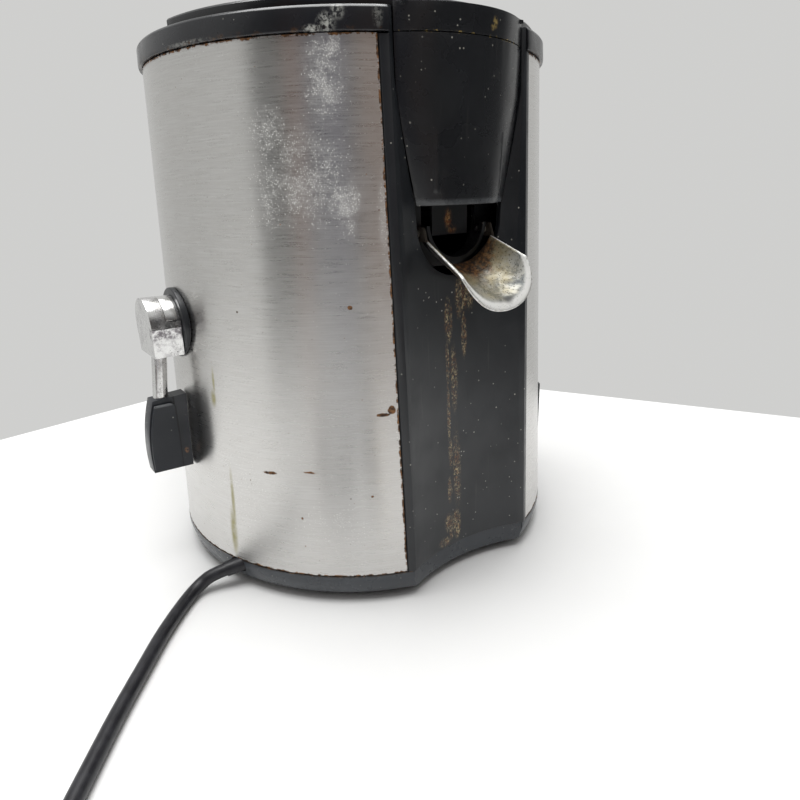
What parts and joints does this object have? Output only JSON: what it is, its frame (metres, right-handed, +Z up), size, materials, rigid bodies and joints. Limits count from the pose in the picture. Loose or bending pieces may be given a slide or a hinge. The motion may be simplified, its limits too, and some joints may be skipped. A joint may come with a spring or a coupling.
{
  "type": "centrifugal juicer",
  "caption": "Centrifugal juicer with a conical brushed steel body, hollowed black front, tilting steel spout, side lock levers, spinning basket, feed tube and pulp container.",
  "frame": {"origin": "on the table surface, under the vertical axis of the body and motor", "axes": "+Z up along the motor axis, the spout points along -Y, the pulp container stands at +Y, +X to the right seen from the front"},
  "size_m": [0.3947, 0.4905, 0.363],
  "materials": {
    "brushed_steel": "brushed",
    "black_plastic": "satin",
    "dark_plastic": "satin",
    "chrome": "polished",
    "polished_steel": "polished",
    "rubber": "matt",
    "cord_rubber": "satin",
    "zinc_steel": "plated",
    "laminated_iron": "machined",
    "copper": "lacquered",
    "brass": "plain",
    "white_plastic": "satin"
  },
  "bodies": {
    "base": {"base_ring": "black_plastic", "bottom_cover": "dark_plastic", "feet": "rubber", "fasteners": "zinc_steel", "steel_wrap": "brushed_steel", "front_panel": "black_plastic", "rim_ring": "black_plastic", "inner_deck": "dark_plastic", "frame_posts": "dark_plastic", "rubber_mounts": "rubber", "motor_bracket": "zinc_steel", "lower_bracket": "zinc_steel", "bearings": "zinc_steel", "stator_core": "laminated_iron", "field_windings": "copper", "brush_holders": "brass", "shaft_seal": "rubber", "interlock_switch": "dark_plastic", "terminal_block": "white_plastic", "switch_housing": "black_plastic", "lever_bosses": "black_plastic", "left_collar": "chrome", "right_collar": "chrome", "cord_gland": "cord_rubber", "cord_tube": "cord_rubber", "cord_coil": "cord_rubber", "coil_tie": "cord_rubber", "plug_body": "cord_rubber", "plug_pins": "brass"},
    "rotor": {"motor_shaft": "zinc_steel", "rotor_core": "laminated_iron", "commutator": "copper", "cooling_fan": "white_plastic", "drive_coupling": "dark_plastic"},
    "rocker": {"switch_rocker": "dark_plastic"},
    "left_lever": {"left_lever_hub": "chrome", "left_lever_arm": "chrome", "left_lever_grip": "black_plastic", "left_lock_shaft": "zinc_steel"},
    "right_lever": {"right_lever_hub": "chrome", "right_lever_arm": "chrome", "right_lever_grip": "black_plastic", "right_lock_shaft": "zinc_steel"},
    "bowl": {"juice_bowl": "dark_plastic", "bowl_front": "dark_plastic", "bowl_floor": "dark_plastic", "outlet_trough": "dark_plastic", "apron": "black_plastic", "spout_pins": "zinc_steel"},
    "spout": {"spout": "polished_steel"},
    "basket": {"basket_base": "dark_plastic", "basket_rim": "dark_plastic", "basket_mesh": "polished_steel", "grater_disc": "polished_steel"},
    "lid": {"lid": "black_plastic", "lid_gasket": "rubber", "feed_tube": "black_plastic"},
    "pusher": {"pusher": "dark_plastic", "pusher_cap": "black_plastic"},
    "container": {"pulp_container": "black_plastic"}
  },
  "joints": [
    {"name": "motor_spin", "type": "hinge", "parent": "base", "child": "rotor", "pos_m": [0, 0, 0.1], "axis": [0, 0, 1], "continuous": true},
    {"name": "rocker_tilt", "type": "hinge", "parent": "base", "child": "rocker", "pos_m": [0.09455, -0.05459, 0.062], "axis": [0.5, 0.866, 0], "range_deg": [0, 18]},
    {"name": "left_lever_turn", "type": "hinge", "parent": "base", "child": "left_lever", "pos_m": [-0.12, 0, 0.1393], "axis": [1, 0, 0], "range_deg": [0, 90]},
    {"name": "right_lever_turn", "type": "hinge", "parent": "base", "child": "right_lever", "pos_m": [0.12, 0, 0.1393], "axis": [1, 0, 0], "range_deg": [0, 90]},
    {"name": "bowl_lift", "type": "slide", "parent": "base", "child": "bowl", "axis": [0, 0, 1], "range_m": [0, 0.13]},
    {"name": "spout_tilt", "type": "hinge", "parent": "bowl", "child": "spout", "pos_m": [0, -0.0915, 0.182], "axis": [-1, 0, 0], "range_deg": [0, 45]},
    {"name": "basket_spin", "type": "hinge", "parent": "bowl", "child": "basket", "pos_m": [0, 0, 0.2], "axis": [0, 0, 1], "continuous": true},
    {"name": "lid_lift", "type": "slide", "parent": "bowl", "child": "lid", "axis": [0, 0, 1], "range_m": [0, 0.12]},
    {"name": "pusher_lift", "type": "slide", "parent": "lid", "child": "pusher", "axis": [0, 0, 1], "range_m": [0, 0.145]},
    {"name": "container_pull", "type": "slide", "parent": "base", "child": "container", "axis": [0, 1, 0], "range_m": [0, 0.12]}
  ],
  "couplings": [
    {"joint": "basket_spin", "follows": "motor_spin", "ratio": 1}
  ]
}
